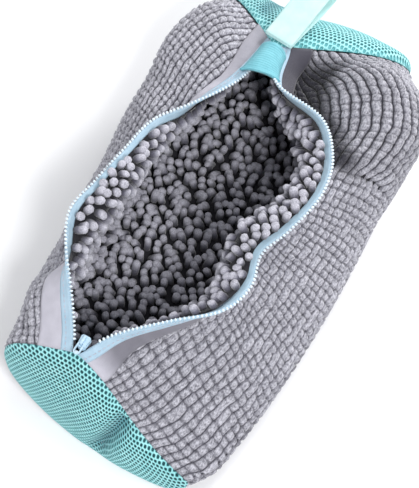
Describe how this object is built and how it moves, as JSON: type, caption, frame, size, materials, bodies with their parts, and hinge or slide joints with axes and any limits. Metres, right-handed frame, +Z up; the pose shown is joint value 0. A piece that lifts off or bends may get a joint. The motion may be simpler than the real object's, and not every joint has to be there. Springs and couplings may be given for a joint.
{
  "type": "shoe bag",
  "caption": "Soft shoe washing bag, lying open: textured chenille shell, mesh end panels, noodle lining, a lengthwise zip with slider and pull, an elastic keeper and a webbing hang loop.",
  "frame": {"origin": "on the resting surface under the middle of the floor panel", "axes": "+Z up, +Y along the bag towards the hang loop, +X to the right seen from the slider end"},
  "size_m": [0.2215, 0.4168, 0.1262],
  "materials": {
    "chenille": "tufted grey chenille in brick-like blocks",
    "noodles": "soft grey chenille noodles",
    "air_mesh": "turquoise air mesh with round holes",
    "facing": "plain grey woven facing",
    "zip_tape": "pale blue woven zip tape",
    "zip_teeth": "moulded pale plastic",
    "slider": "pale blue paint",
    "elastic": "turquoise ribbed elastic",
    "webbing": "pale mint webbing"
  },
  "bodies": {
    "bag": {"outer_left_panel": "chenille", "outer_right_panel": "chenille", "outer_bottom_panel": "chenille", "lining_left": "noodles", "lining_right": "noodles", "lining_bottom": "noodles", "near_mesh_panel": "air_mesh", "far_mesh_panel": "air_mesh", "left_zip_facing": "facing", "right_zip_facing": "facing", "left_zip_tape": "zip_tape", "right_zip_tape": "zip_tape", "left_zip_teeth": "zip_teeth", "right_zip_teeth": "zip_teeth", "left_top_stop": "zip_teeth", "right_top_stop": "zip_teeth", "zip_bottom_stop": "zip_teeth", "zip_keeper": "elastic"},
    "slider": {"zip_slider": "slider"},
    "pull": {"zip_pull": "slider"},
    "loop": {"hang_loop": "webbing"}
  },
  "joints": [
    {"name": "slider_travel", "type": "slide", "parent": "bag", "child": "slider", "axis": [0.0952, 0.9948, 0.0349], "range_m": [0, 0.2468]},
    {"name": "pull_flip", "type": "hinge", "parent": "slider", "child": "pull", "pos_m": [-0.03593, -0.16548, 0.10323], "axis": [-0.9954, 0.0953, 0], "range_deg": [0, 170]},
    {"name": "loop_swing", "type": "hinge", "parent": "bag", "child": "loop", "pos_m": [-0.019, 0.137, 0.0886], "axis": [0.9781, -0.2079, 0], "range_deg": [0, 90]}
  ]
}
